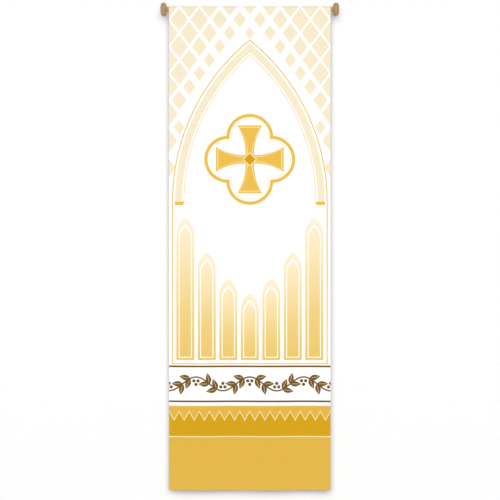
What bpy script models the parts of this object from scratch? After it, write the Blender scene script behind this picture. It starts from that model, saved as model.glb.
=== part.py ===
"""A church banner on a wooden rod, at its real size.

The banner is one strip of printed cloth. The strip is turned up in a hem at
the bottom, rises as the panel, passes over the rod and comes down behind the
panel, where its end is sewn flat. That loop is the pole pocket. A turned
knob is bored to fit over each end of the rod.

Units are metres and +Z is up. The origin is on the rod's axis, half way
along it. X runs along the rod and the front of the banner faces -Y.
"""

import math
from typing import NamedTuple

import bmesh
import bpy

# Driving dimensions
INCH = 0.0254
BANNER_WIDTH = 24 * INCH
BANNER_DROP = 72 * INCH
CLOTH_THICKNESS = 0.001
POCKET_DEPTH = 0.055
FLAP_LENGTH = 0.012
HEM_DEPTH = 0.025
ROD_DIAMETER = 0.019
KNOB_DIAMETER = 0.052
KNOB_THICKNESS = 0.0225
KNOB_BORE_DEPTH = 0.014
NECK_LENGTH = 0.0095
GAP = 0.0003

# The pocket stands in a soft crease above the rod: the angle from straight up
# at which the cloth leaves the rod, and the crease's own radius.
CREASE_ANGLE = math.radians(35)
CREASE_RADIUS = 0.003
SEAM_BEND_RADIUS = 0.03

# Fineness of the curved shapes
CLOTH_COLUMNS = 20
PANEL_ROWS = 24
HEM_FOLD_STEPS = 6
ROD_WRAP_STEPS = 6
CREASE_STEPS = 6
SEAM_BEND_STEPS = 3
ROD_SIDES = 32
KNOB_STEPS = 32
KNOB_RIM_STEPS = 8
SHARP_ANGLE = math.radians(40)
MERGE_DISTANCE = 0.00005

# Derived places
ROD_RADIUS = ROD_DIAMETER / 2
LAYER_SPACING = CLOTH_THICKNESS + GAP
WRAP_RADIUS = ROD_RADIUS + GAP + CLOTH_THICKNESS / 2
CREASE_CENTRE_Z = (WRAP_RADIUS - CREASE_RADIUS) / math.cos(CREASE_ANGLE)
TOP_Z = CREASE_CENTRE_Z + CREASE_RADIUS + CLOTH_THICKNESS / 2
BOTTOM_Z = TOP_Z - BANNER_DROP
SEAM_Z = TOP_Z - POCKET_DEPTH
HEM_FOLD_Z = BOTTOM_Z + CLOTH_THICKNESS / 2 + LAYER_SPACING / 2
KNOB_SEAT_X = BANNER_WIDTH / 2 + NECK_LENGTH
ROD_HALF_LENGTH = KNOB_SEAT_X + KNOB_BORE_DEPTH - GAP


class Fold(NamedTuple):
    """A soft upright ridge or trough in the hanging cloth.

    Its centre is at_hem across the banner at the bottom edge, and it leans
    sideways by lean for each metre of height. depth is towards the back, so
    a ridge that stands forward is negative. It begins at height begins and
    has its whole depth from height full down to the hem.
    """

    at_hem: float
    lean: float
    half_width: float
    depth: float
    begins: float
    full: float


FOLDS = (
    Fold(at_hem=-0.305, lean=0.000, half_width=0.070, depth=0.0030, begins=-0.35, full=-1.25),
    Fold(at_hem=-0.195, lean=0.030, half_width=0.105, depth=-0.0032, begins=-0.15, full=-1.10),
    Fold(at_hem=-0.060, lean=0.020, half_width=0.095, depth=0.0026, begins=-0.30, full=-1.40),
    Fold(at_hem=0.075, lean=-0.025, half_width=0.110, depth=-0.0030, begins=-0.12, full=-1.00),
    Fold(at_hem=0.205, lean=-0.015, half_width=0.090, depth=0.0034, begins=-0.40, full=-1.30),
    Fold(at_hem=0.305, lean=0.000, half_width=0.065, depth=-0.0028, begins=-0.55, full=-1.45),
)


def clear_scene() -> None:
    """Remove every object that the file starts with."""
    for old in list(bpy.data.objects):
        bpy.data.objects.remove(old, do_unlink=True)


def linear(channel: float) -> float:
    """Turn one sRGB channel, 0 to 1, into a linear value."""
    if channel <= 0.04045:
        return channel / 12.92
    return ((channel + 0.055) / 1.055) ** 2.4


def plain_material(name: str, colour: str, roughness: float) -> bpy.types.Material:
    """Make a Principled material from an sRGB hex colour."""
    channels = [linear(int(colour[i : i + 2], 16) / 255) for i in (0, 2, 4)]
    material = bpy.data.materials.new(name)
    material.use_nodes = True
    shader = material.node_tree.nodes["Principled BSDF"]
    shader.inputs["Base Color"].default_value = (*channels, 1)
    shader.inputs["Roughness"].default_value = roughness
    shader.inputs["Metallic"].default_value = 0
    return material


def arc(centre: tuple, radius: float, start: float, end: float, steps: int) -> list:
    """Points (y, z) on an arc; angles run from straight up towards the front."""
    angles = [start + (end - start) * i / steps for i in range(steps + 1)]
    return [(centre[0] - radius * math.sin(a), centre[1] + radius * math.cos(a)) for a in angles]


def bend(corner: tuple, before: tuple, after: tuple) -> list:
    """Round a slight corner of the path, between the points before and after it."""
    to_before = (before[0] - corner[0], before[1] - corner[1])
    to_after = (after[0] - corner[0], after[1] - corner[1])
    long_before, long_after = math.hypot(*to_before), math.hypot(*to_after)
    turn = math.pi - math.acos(
        (to_before[0] * to_after[0] + to_before[1] * to_after[1]) / (long_before * long_after)
    )
    reach = SEAM_BEND_RADIUS * math.tan(turn / 2)
    first = [corner[i] + to_before[i] * reach / long_before for i in (0, 1)]
    last = [corner[i] + to_after[i] * reach / long_after for i in (0, 1)]
    points = []
    for step in range(SEAM_BEND_STEPS + 1):
        t = step / SEAM_BEND_STEPS
        weights = ((1 - t) ** 2, 2 * t * (1 - t), t**2)
        points.append(
            tuple(weights[0] * first[i] + weights[1] * corner[i] + weights[2] * last[i] for i in (0, 1))
        )
    return points


def touch_angle(side_offset: float) -> float:
    """The angle from straight up at which a layer from the seam meets the rod's wrap.

    side_offset is how far the seam point lies from the rod's plane, towards
    the side on which the layer passes the rod.
    """
    distance = math.hypot(side_offset, SEAM_Z)
    towards_seam = math.pi - math.atan2(side_offset, -SEAM_Z)
    return towards_seam - math.acos(WRAP_RADIUS / distance)


def strip_path() -> list:
    """The cloth's middle line (y, z), from the hem's edge to the flap's end."""
    hem = [(LAYER_SPACING, HEM_FOLD_Z + HEM_DEPTH)]
    fold = arc(
        (LAYER_SPACING / 2, HEM_FOLD_Z),
        LAYER_SPACING / 2,
        -math.pi / 2,
        -3 * math.pi / 2,
        HEM_FOLD_STEPS,
    )
    front_touch, back_touch = touch_angle(0), -touch_angle(LAYER_SPACING)
    front_wrap = arc((0, 0), WRAP_RADIUS, front_touch, CREASE_ANGLE, ROD_WRAP_STEPS)
    crease = arc((0, CREASE_CENTRE_Z), CREASE_RADIUS, CREASE_ANGLE, -CREASE_ANGLE, CREASE_STEPS)
    back_wrap = arc((0, 0), WRAP_RADIUS, -CREASE_ANGLE, back_touch, ROD_WRAP_STEPS)
    flap_end = (LAYER_SPACING, SEAM_Z - FLAP_LENGTH)
    front_bend = bend((0, SEAM_Z), fold[-1], front_wrap[0])
    back_bend = bend((LAYER_SPACING, SEAM_Z), back_wrap[-1], flap_end)
    low, high = HEM_FOLD_Z + HEM_DEPTH, front_bend[0][1]
    panel = [(0, low + (high - low) * row / PANEL_ROWS) for row in range(PANEL_ROWS)]
    return [*hem, *fold, *panel, *front_bend, *front_wrap, *crease, *back_wrap, *back_bend, flap_end]


def fold_offset(x: float, z: float) -> float:
    """How far the folds push the hanging cloth towards the back at (x, z)."""
    offset = 0.0
    for fold in FOLDS:
        across = (x - fold.at_hem - fold.lean * (z - BOTTOM_Z)) / fold.half_width
        down = min(max((fold.begins - z) / (fold.begins - fold.full), 0), 1)
        if abs(across) < 1:
            bell = 0.5 + 0.5 * math.cos(math.pi * across)
            offset += fold.depth * bell * down * down * (3 - 2 * down)
    return offset


def build_cloth(material: bpy.types.Material) -> bpy.types.Object:
    """The printed panel with its hem and pole pocket, one strip of cloth."""
    path = strip_path()
    bpy.ops.mesh.primitive_grid_add(
        x_subdivisions=CLOTH_COLUMNS, y_subdivisions=len(path) - 1, size=2, location=(0, 0, 0)
    )
    cloth = bpy.context.object
    cloth.name = cloth.data.name = "banner_cloth"
    for vertex in cloth.data.vertices:
        x = vertex.co.x * BANNER_WIDTH / 2
        y, z = path[round((vertex.co.y + 1) / 2 * (len(path) - 1))]
        vertex.co = (x, y + fold_offset(x, z), z)
    cloth.data.materials.append(material)
    wall = cloth.modifiers.new("cloth_thickness", "SOLIDIFY")
    wall.thickness = CLOTH_THICKNESS
    wall.offset = 0
    wall.use_even_offset = True
    return cloth


def build_rod(material: bpy.types.Material) -> bpy.types.Object:
    """The plain dowel through the pocket."""
    bpy.ops.mesh.primitive_cylinder_add(
        vertices=ROD_SIDES,
        radius=ROD_RADIUS,
        depth=2 * ROD_HALF_LENGTH,
        location=(0, 0, 0),
        rotation=(0, math.pi / 2, 0),
    )
    rod = bpy.context.object
    rod.name = rod.data.name = "rod"
    rod.data.materials.append(material)
    rod.data.shade_smooth()
    rod.data.set_sharp_from_angle(angle=SHARP_ANGLE)
    return rod


def knob_profile() -> list:
    """Half the knob's section (radius, height), from its flat end round to the bore."""
    rim_radius = KNOB_THICKNESS / 2
    rim_centre = KNOB_DIAMETER / 2 - rim_radius
    rim = []
    for step in range(KNOB_RIM_STEPS + 1):
        angle = math.pi * step / KNOB_RIM_STEPS
        rim.append((rim_centre + rim_radius * math.sin(angle), rim_radius * (1 + math.cos(angle))))
    bore_radius = ROD_RADIUS + GAP
    bore = [(bore_radius, 0), (bore_radius, KNOB_BORE_DEPTH), (0, KNOB_BORE_DEPTH)]
    return [(0, KNOB_THICKNESS), *rim, *bore]


def build_knob(name: str, side: int, material: bpy.types.Material) -> bpy.types.Object:
    """A turned knob with a round rim; side is -1 at the left end and 1 at the right."""
    mesh = bpy.data.meshes.new(name)
    shape = bmesh.new()
    corners = [shape.verts.new((radius, 0, height)) for radius, height in knob_profile()]
    for first, second in zip(corners, corners[1:]):
        shape.edges.new((first, second))
    shape.to_mesh(mesh)
    shape.free()
    mesh.materials.append(material)
    knob = bpy.data.objects.new(name, mesh)
    knob.location = (side * KNOB_SEAT_X, 0, 0)
    knob.rotation_euler = (0, side * math.pi / 2, 0)
    turning = knob.modifiers.new("turning", "SCREW")
    turning.axis = "Z"
    turning.steps = turning.render_steps = KNOB_STEPS
    turning.use_merge_vertices = True
    turning.merge_threshold = MERGE_DISTANCE
    turning.use_smooth_shade = True
    return knob


def main() -> None:
    """Build the banner, its rod and its knobs under one empty."""
    clear_scene()
    collection = bpy.data.collections.new("church_banner")
    bpy.context.scene.collection.children.link(collection)
    holder = bpy.data.objects.new("rod_centre", None)
    collection.objects.link(holder)
    cloth_white = plain_material("printed_polyester_cloth", "f4ead2", 0.85)
    turned_wood = plain_material("clear_finished_beech", "b8956a", 0.45)
    pieces = [
        build_cloth(cloth_white),
        build_rod(turned_wood),
        build_knob("knob_left", -1, turned_wood),
        build_knob("knob_right", 1, turned_wood),
    ]
    for piece in pieces:
        for home in list(piece.users_collection):
            home.objects.unlink(piece)
        collection.objects.link(piece)
        piece.parent = holder


if __name__ == "__main__":
    main()
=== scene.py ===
"""The looks of a church banner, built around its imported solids.

A printed polyester banner hangs flat from a lacquered beech rod with a turned
knob at each end. The cloth is one strip: it is turned up in a hem at the
bottom, rises as the panel, goes over the rod and is sewn down behind the
panel. Units are metres, the origin is on the rod's axis half way along it, X
runs along the rod, Z is up and the front faces -Y.
"""

import logging
import math
import random
from collections.abc import Callable, Sequence
from dataclasses import dataclass, field
from enum import Enum

import bmesh
import bpy
import numpy as np
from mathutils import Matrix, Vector
from mathutils.geometry import delaunay_2d_cdt


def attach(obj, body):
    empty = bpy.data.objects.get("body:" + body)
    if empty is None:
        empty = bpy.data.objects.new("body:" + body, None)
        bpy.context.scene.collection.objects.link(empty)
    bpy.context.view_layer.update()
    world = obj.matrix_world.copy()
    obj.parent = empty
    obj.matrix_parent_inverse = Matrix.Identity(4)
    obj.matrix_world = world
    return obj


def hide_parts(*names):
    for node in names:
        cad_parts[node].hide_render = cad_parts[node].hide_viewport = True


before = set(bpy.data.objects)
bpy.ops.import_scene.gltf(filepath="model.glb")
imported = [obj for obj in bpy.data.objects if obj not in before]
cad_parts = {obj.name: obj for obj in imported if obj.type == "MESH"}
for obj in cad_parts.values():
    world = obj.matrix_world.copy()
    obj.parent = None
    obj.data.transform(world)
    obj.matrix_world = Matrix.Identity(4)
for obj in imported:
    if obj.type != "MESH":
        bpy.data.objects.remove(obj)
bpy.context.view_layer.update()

logging.basicConfig(level=logging.INFO, format="%(message)s")
log = logging.getLogger("banner")

Point = tuple[float, float]
Piece = bpy.types.Object
Material = bpy.types.Material
NodeTree = bpy.types.NodeTree
Socket = bpy.types.NodeSocket
Part = bmesh.types.BMEdge | bmesh.types.BMFace

BODY = "root"
CLOTH = "banner_sheet"
KNOBS = ("left_turned_knob", "right_turned_knob")
WALL = "studio_wall"
PRINT = "print"
FLAT_MAP = "cloth"
INCH = 0.0254
MILLIMETRE = 0.001
BANNER_WIDTH = 24 * INCH
BANNER_DROP = 72 * INCH


def linear(colour: str) -> tuple[float, float, float]:
    """Turn an sRGB hex colour into linear light.

    Args:
        colour: six hex digits, red first.

    Returns:
        Red, green and blue from 0 to 1.
    """
    shares = (int(colour[start : start + 2], 16) / 255 for start in (0, 2, 4))
    return tuple(s / 12.92 if s <= 0.04045 else ((s + 0.055) / 1.055) ** 2.4 for s in shares)


def add_node(
    tree: NodeTree,
    kind: str,
    inputs: dict | None = None,
    output: int | str = 0,
    **settings: object,
) -> Socket | None:
    """Add a node with its settings and links.

    Args:
        tree: the node tree.
        kind: Blender's name for the node's type, without its "ShaderNode".
        inputs: what goes into each input, by its name or number. A socket is
            linked, and anything else is set as the input's own value.
        output: the name or number of the output that is wanted.
        settings: the node's properties.

    Returns:
        The output, or nothing from a node that has none.
    """
    node = tree.nodes.new("ShaderNode" + kind)
    for key, value in settings.items():
        setattr(node, key, value)
    for key, value in (inputs or {}).items():
        if isinstance(value, bpy.types.NodeSocket):
            tree.links.new(value, node.inputs[key])
        else:
            node.inputs[key].default_value = value
    return node.outputs[output] if node.outputs else None


def new_material(name: str) -> tuple[Material, NodeTree]:
    """Make a material with an empty node tree.

    Args:
        name: the material's name.

    Returns:
        The material and its node tree.
    """
    material = bpy.data.materials.new(name)
    material.use_nodes = True
    material.node_tree.nodes.clear()
    return material, material.node_tree


def wave_scale(spacing: float) -> float:
    """The Wave texture's scale for bands or rings that are spacing metres apart."""
    return math.tau / 20 / spacing


class Ink(Enum):
    """The printed colours, as sRGB hex. The studio's light lifts each a little."""

    GROUND = "f8f7f4"
    CREAM = "ece0c4"
    GOLD = "e2b646"
    TAN = "d6ac41"
    DEEP_GOLD = "cb9a00"
    PALE_LINE = "f3dfa6"
    BROWN = "6e4e1c"


# The gold that fades to cream, from the foot of a lancet to its point.
FADE_STOPS = ((0.0, "e2bc60"), (0.35, "e6c97e"), (0.7, "eedaab"), (1.0, "f2e7cf"))


@dataclass(frozen=True)
class PrintedPolyester:
    """Woven polyester with its picture printed by dye, a matt cloth with a faint sheen.

    The dye is in the threads, so the print has no film and no gloss of its
    own. The threads are 0.35 mm apart, too fine to show, so the plain weave
    is drawn 1.2 mm apart.
    """

    name: str = "dye_printed_woven_polyester"
    thread_spacing: float = 1.2 * MILLIMETRE
    show_through: float = 1.0
    reverse_white: str = "f1efe9"
    roughness: float = 0.78
    sheen: float = 0.12

    def make(self) -> Material:
        """Make the material.

        Returns:
            The finished material, which reads the piece's print and flat map.
        """
        material, tree = new_material(self.name)
        printed = add_node(tree, "VertexColor", output="Color", layer_name=PRINT)
        flat = add_node(tree, "UVMap", output="UV", uv_map=FLAT_MAP)
        undyed = (*linear(self.reverse_white), 1)
        seen = {0: self.show_through, 6: undyed, 7: printed}
        colour = add_node(tree, "Mix", seen, 2, data_type="RGBA")
        weave = self._weave(tree, flat)
        along_weft = add_node(tree, "Mapping", {"Vector": flat, "Scale": (18.0, 420.0, 1.0)})
        slubs = add_node(tree, "TexNoise", {"Vector": along_weft, "Scale": 1.0, "Detail": 2.0})
        clouds = add_node(tree, "TexNoise", {"Vector": flat, "Scale": 24.0, "Detail": 4.0})
        # The weave's low places, between the threads, are painted darker: painted shade. The slubs and
        # clouds are the cloth's own uneven tone.
        for pattern, low, high, darkest in (
            (weave, 0.1, 0.8, 0.93),
            (slubs, 0.3, 0.7, 0.965),
            (clouds, 0.3, 0.7, 0.985),
        ):
            shade = add_node(tree, "MapRange", {0: pattern, 1: low, 2: high, 3: darkest})
            shaded = {0: 1.0, 6: colour, 7: shade}
            colour = add_node(tree, "Mix", shaded, 2, data_type="RGBA", blend_type="MULTIPLY")
        height = add_node(tree, "Math", {0: slubs, 1: weave}, operation="ADD")
        relief = {"Strength": 0.6, "Distance": 0.12 * MILLIMETRE, "Height": height}
        low, high = self.roughness - 0.05, self.roughness + 0.05
        shader = add_node(
            tree,
            "BsdfPrincipled",
            {
                "Base Color": colour,
                "Roughness": add_node(tree, "MapRange", {0: clouds, 1: 0.3, 2: 0.7, 3: low, 4: high}),
                "Specular IOR Level": 0.22,
                "Sheen Weight": self.sheen,
                "Sheen Roughness": 0.45,
                "Normal": add_node(tree, "Bump", relief),
            },
        )
        add_node(tree, "OutputMaterial", {"Surface": shader})
        return material

    def _weave(self, tree: NodeTree, flat: Socket) -> Socket:
        """A plain weave: each thread goes over one crossing thread and under the next.

        Args:
            tree: the material's node tree.
            flat: the cloth's flat map.

        Returns:
            A height from 0 between the threads to 1 where one is on top.
        """
        pair, each = (
            {"Vector": flat, "Scale": wave_scale(count * self.thread_spacing)} for count in (2, 1)
        )
        # Waves two threads long make a chequer that says which thread is on top.
        over = []
        for way in "XY":
            wave = add_node(tree, "TexWave", pair, "Fac", bands_direction=way)
            over.append(add_node(tree, "MapRange", {0: wave, 3: -1.0}))
        chequer = add_node(tree, "Math", {0: over[0], 1: over[1]}, operation="MULTIPLY")
        warp_on_top = add_node(tree, "MapRange", {0: chequer, 1: -0.4, 2: 0.4})
        warp, weft = (
            add_node(tree, "TexWave", each, "Fac", bands_direction=way) for way in "XY"
        )
        return add_node(tree, "Mix", {0: warp_on_top, 2: weft, 3: warp})


@dataclass(frozen=True)
class PolyesterThread:
    """Spun polyester sewing thread, two plies twisted, which takes the print's colour.

    It is a little lighter and glossier than the cloth, so a seam shows as a
    row of small lights. The plies' twist is 0.9 mm long.
    """

    name: str = "spun_polyester_thread"
    twist: float = 0.9 * MILLIMETRE

    def make(self) -> Material:
        """Make the material.

        Returns:
            The finished material, which reads the piece's print.
        """
        material, tree = new_material(self.name)
        printed = add_node(tree, "VertexColor", output="Color", layer_name=PRINT)
        place = add_node(tree, "TexCoord", output="Object")
        across = {"Vector": place, "Scale": 2 * wave_scale(self.twist)}
        plies = add_node(tree, "TexWave", across, "Fac", bands_direction="DIAGONAL")
        # Where the plies' twist dips, between them, the thread is painted darker: painted shade.
        shaded = {0: 1.0, 6: printed, 7: add_node(tree, "MapRange", {0: plies, 3: 0.86})}
        relief = {"Strength": 0.5, "Distance": 0.05 * MILLIMETRE, "Height": plies}
        shader = add_node(
            tree,
            "BsdfPrincipled",
            {
                "Base Color": add_node(
                    tree, "Mix", shaded, 2, data_type="RGBA", blend_type="MULTIPLY"
                ),
                "Roughness": 0.55,
                "Specular IOR Level": 0.4,
                "Sheen Weight": 0.2,
                "Normal": add_node(tree, "Bump", relief),
            },
        )
        add_node(tree, "OutputMaterial", {"Surface": shader})
        return material


@dataclass(frozen=True)
class LacqueredBeech:
    """Turned beech under a thin satin lacquer.

    Beech is a pale, even wood with faint growth rings and many short dark
    flecks along the grain. The lacquer gives it one soft highlight. pith is
    where the rod's axis lies, in Y and Z, as seen from the tree's middle.
    """

    name: str
    early_wood: str = "a9865a"
    late_wood: str = "977349"
    fleck: str = "7d5a36"
    ring_spacing: float = 2.4 * MILLIMETRE
    pith: Point = (0.034, -0.052)
    roughness: float = 0.44

    def make(self) -> Material:
        """Make the material.

        Returns:
            The finished material, with its grain along X.
        """
        material, tree = new_material(self.name)
        place = add_node(tree, "TexCoord", output="Object")
        around_pith = {
            "Vector": add_node(tree, "Mapping", {"Vector": place, "Location": (0.0, *self.pith)}),
            "Scale": wave_scale(self.ring_spacing),
            "Distortion": 2.2,
            "Detail": 3.0,
            "Detail Scale": 0.35,
        }
        rings = add_node(tree, "TexWave", around_pith, "Fac", wave_type="RINGS", rings_direction="X")
        streaks = self._along_grain(tree, place, (26.0, 700.0, 700.0))
        flecks = self._along_grain(tree, place, (300.0, 1900.0, 1900.0))
        late = add_node(tree, "MapRange", {0: rings, 1: 0.45, 4: 0.75})
        streaky = add_node(tree, "MapRange", {0: streaks, 1: 0.35, 2: 0.7, 4: 0.55})
        figure = add_node(tree, "Math", {0: late, 1: streaky}, operation="MAXIMUM")
        flecked = add_node(tree, "MapRange", {0: flecks, 1: 0.64, 2: 0.74, 4: 0.7})
        colour = (*linear(self.early_wood), 1)
        for share, shade in ((figure, self.late_wood), (flecked, self.fleck)):
            mixed = {0: share, 6: colour, 7: (*linear(shade), 1)}
            colour = add_node(tree, "Mix", mixed, 2, data_type="RGBA")
        relief = {"Strength": 0.35, "Distance": 0.05 * MILLIMETRE, "Height": streaks}
        low, high = self.roughness - 0.06, self.roughness + 0.06
        shader = add_node(
            tree,
            "BsdfPrincipled",
            {
                "Base Color": colour,
                "Roughness": add_node(tree, "MapRange", {0: streaks, 1: 0.3, 2: 0.7, 3: low, 4: high}),
                "Coat Weight": 0.2,
                "Coat Roughness": 0.35,
                "Normal": add_node(tree, "Bump", relief),
            },
        )
        add_node(tree, "OutputMaterial", {"Surface": shader})
        return material

    @staticmethod
    def _along_grain(tree: NodeTree, place: Socket, scale: tuple[float, float, float]) -> Socket:
        """Noise drawn out along the grain.

        Args:
            tree: the material's node tree.
            place: the piece's object coordinates.
            scale: how many marks a metre holds along X, Y and Z.

        Returns:
            The noise, from 0 to 1.
        """
        stretched = add_node(tree, "Mapping", {"Vector": place, "Scale": scale})
        marks = {"Vector": stretched, "Scale": 1.0, "Detail": 3.0, "Roughness": 0.55}
        return add_node(tree, "TexNoise", marks)


@dataclass(frozen=True)
class MattPaint:
    """Matt emulsion paint, for the wall and floor of the studio, with no gloss."""

    name: str
    colour: str
    one_sided: bool = False

    def make(self) -> Material:
        """Make the material.

        Returns:
            The finished material. A one-sided one is clear from behind, so
            that the banner's back can be looked at through the wall.
        """
        material, tree = new_material(self.name)
        paint = add_node(tree, "BsdfDiffuse", {"Color": (*linear(self.colour), 1)})
        if self.one_sided:
            behind = add_node(tree, "NewGeometry", output="Backfacing")
            sides = {0: behind, 1: paint, 2: add_node(tree, "BsdfTransparent")}
            paint = add_node(tree, "MixShader", sides)
        add_node(tree, "OutputMaterial", {"Surface": paint})
        return material


def select_none() -> None:
    """Deselect everything, so that an operator meets only its own piece."""
    for chosen in list(bpy.context.selected_objects):
        chosen.select_set(False)


def take_piece(name: str) -> Piece:
    """Name the primitive that was just added, and put its place in its mesh.

    Args:
        name: the piece's name.

    Returns:
        The piece, its object at the origin.
    """
    piece = bpy.context.object
    piece.name = piece.data.name = name
    bpy.ops.object.transform_apply(location=True, rotation=True, scale=True)
    return piece


def pick(piece: Piece, kind: str, wanted: Callable[[Part], bool]) -> None:
    """In edit mode, select the edges or faces that pass a test and nothing else.

    Args:
        piece: the piece in edit mode.
        kind: EDGE or FACE.
        wanted: says whether an edge or a face is to be selected.
    """
    bpy.ops.mesh.select_mode(type=kind)
    bpy.ops.mesh.select_all(action="DESELECT")
    shape = bmesh.from_edit_mesh(piece.data)
    for part in shape.edges if kind == "EDGE" else shape.faces:
        if wanted(part):
            part.select_set(True)
    bmesh.update_edit_mesh(piece.data)


def both_ends_at(edge: bmesh.types.BMEdge, x: float, radius: float | None = None) -> bool:
    """Whether an edge lies in the plane at x.

    Args:
        edge: the edge.
        x: where the plane is.
        radius: how far from the X axis the edge's ends have to be, if it matters.

    Returns:
        True if both of its ends pass.
    """
    near = 0.02 * MILLIMETRE
    for vertex in edge.verts:
        if abs(vertex.co.x - x) > near:
            return False
        if radius is not None and abs(math.hypot(vertex.co.y, vertex.co.z) - radius) > near:
            return False
    return True


@dataclass(frozen=True)
class Fold:
    """A soft upright ridge or trough in the hanging cloth, in part.py's own numbers.

    Its centre is at_hem across the banner at the bottom edge, and it leans
    sideways by lean for each metre of height. depth is towards the back. It
    begins at height begins and has its whole depth from height full down.
    """

    at_hem: float
    lean: float
    half_width: float
    depth: float
    begins: float
    full: float


FOLDS = (
    Fold(at_hem=-0.305, lean=0.000, half_width=0.070, depth=0.0030, begins=-0.35, full=-1.25),
    Fold(at_hem=-0.195, lean=0.030, half_width=0.105, depth=-0.0032, begins=-0.15, full=-1.10),
    Fold(at_hem=-0.060, lean=0.020, half_width=0.095, depth=0.0026, begins=-0.30, full=-1.40),
    Fold(at_hem=0.075, lean=-0.025, half_width=0.110, depth=-0.0030, begins=-0.12, full=-1.00),
    Fold(at_hem=0.205, lean=-0.015, half_width=0.090, depth=0.0034, begins=-0.40, full=-1.30),
    Fold(at_hem=0.305, lean=0.000, half_width=0.065, depth=-0.0028, begins=-0.55, full=-1.45),
)


@dataclass
class Hang:
    """How the strip of cloth hangs: its path over the rod, its folds and its puckers.

    A place on the flat strip is (x, s), where s runs from the edge of the
    bottom hem up the front and over the rod to the end of the pocket's back.
    """

    width: float = BANNER_WIDTH
    drop: float = BANNER_DROP
    solid_thickness: float = 1.0 * MILLIMETRE
    thickness: float = 0.6 * MILLIMETRE
    layer_spacing: float = 0.75 * MILLIMETRE
    pocket_depth: float = 55 * MILLIMETRE
    flap_length: float = 12 * MILLIMETRE
    hem_depth: float = 25 * MILLIMETRE
    hem_seam_height: float = 22.5 * MILLIMETRE
    wrap_radius: float = 10.3 * MILLIMETRE
    crease_angle: float = math.radians(35)
    crease_radius: float = 3 * MILLIMETRE
    bend_reach: float = 3.7 * MILLIMETRE
    side_seam_inset: float = 10 * MILLIMETRE
    pucker_height: float = 0.22 * MILLIMETRE
    pucker_reach: float = 16 * MILLIMETRE
    pucker_fade: float = 20 * MILLIMETRE
    path: np.ndarray = field(init=False)
    along: np.ndarray = field(init=False)

    def __post_init__(self) -> None:
        """Work out the heights, the path and the puckers' waves."""
        self.crease_z = (self.wrap_radius - self.crease_radius) / math.cos(self.crease_angle)
        self.top_z = self.crease_z + self.crease_radius + self.solid_thickness / 2
        self.bottom_z = self.top_z - self.drop
        self.seam_z = self.top_z - self.pocket_depth
        self.bend_z = self.seam_z + self.bend_reach
        self.fold_z = self.bottom_z + (self.thickness + self.layer_spacing) / 2
        self.hem_top_z = self.bottom_z + self.hem_depth
        self.hem_seam_z = self.bottom_z + self.hem_seam_height
        self.path = np.array(self._path())
        steps = np.hypot(*np.diff(self.path, axis=0).T)
        self.along = np.concatenate([[0.0], np.cumsum(steps)])
        draw = random.Random(7)
        self.upright_waves = self._waves(draw, (0.021, 0.029, 0.043, 0.067))
        self.level_waves = self._waves(draw, (0.027, 0.038, 0.055, 0.083))

    @property
    def length(self) -> float:
        """The strip's length, from the hem's edge to the end of the pocket's back."""
        return float(self.along[-1])

    @staticmethod
    def _waves(draw: random.Random, lengths: Sequence[float]) -> list[tuple[float, float, float]]:
        """Waves of given lengths with random phases.

        Args:
            draw: the seeded source of random numbers.
            lengths: each wave's length in metres.

        Returns:
            For each wave its turns a metre, its phase and its share.
        """
        return [
            (math.tau / length, draw.uniform(0, math.tau), draw.uniform(0.6, 1.0) / len(lengths))
            for length in lengths
        ]

    @staticmethod
    def _arc(centre: Point, radius: float, start: float, end: float, steps: int) -> list[Point]:
        """Points on an arc.

        Args:
            centre: its centre (y, z).
            radius: its radius.
            start: the angle it starts at, from straight up towards the front.
            end: the angle it ends at.
            steps: how many parts it has.

        Returns:
            The points (y, z), in order.
        """
        angles = [start + (end - start) * i / steps for i in range(steps + 1)]
        return [
            (centre[0] - radius * math.sin(a), centre[1] + radius * math.cos(a)) for a in angles
        ]

    def _bend(self, corner: Point, before: Point, after: Point) -> list[Point]:
        """Round a slight corner of the path.

        Args:
            corner: the corner itself.
            before: a point of the path before it.
            after: a point of the path after it.

        Returns:
            The points of the bend, in order.
        """
        here, first, last = (np.array(point) for point in (corner, before, after))
        start = here + (first - here) * self.bend_reach / np.linalg.norm(first - here)
        end = here + (last - here) * self.bend_reach / np.linalg.norm(last - here)
        return [
            tuple((1 - t) ** 2 * start + 2 * t * (1 - t) * here + t**2 * end)
            for t in np.linspace(0, 1, 7)
        ]

    def _touch_angle(self, side_offset: float) -> float:
        """Where a layer that comes up from the seam meets the rod's wrap.

        Args:
            side_offset: how far behind the rod's plane the layer starts.

        Returns:
            The angle from straight up.
        """
        distance = math.hypot(side_offset, self.bend_z)
        towards_seam = math.pi - math.atan2(side_offset, -self.bend_z)
        return towards_seam - math.acos(self.wrap_radius / distance)

    def _path(self) -> list[Point]:
        """The cloth's middle line.

        Returns:
            Its points (y, z), from the hem's edge to the flap's end.
        """
        back, crease = self.layer_spacing, self.crease_angle
        fold = self._arc((back / 2, self.fold_z), back / 2, -math.pi / 2, -3 * math.pi / 2, 8)
        front_touch, back_touch = self._touch_angle(0), -self._touch_angle(back)
        front_wrap = self._arc((0, 0), self.wrap_radius, front_touch, crease, 12)
        top = self._arc((0, self.crease_z), self.crease_radius, crease, -crease, 10)
        back_wrap = self._arc((0, 0), self.wrap_radius, -crease, back_touch, 12)
        flap_end = (back, self.seam_z - self.flap_length)
        front_bend = self._bend((0, self.bend_z), fold[-1], front_wrap[0])
        back_bend = self._bend((back, self.bend_z), back_wrap[-1], flap_end)
        hem_edge = (back, self.hem_top_z)
        rising = [hem_edge, *fold, *front_bend, *front_wrap]
        return [*rising, *top[1:-1], *back_wrap, *back_bend, flap_end]

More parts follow.
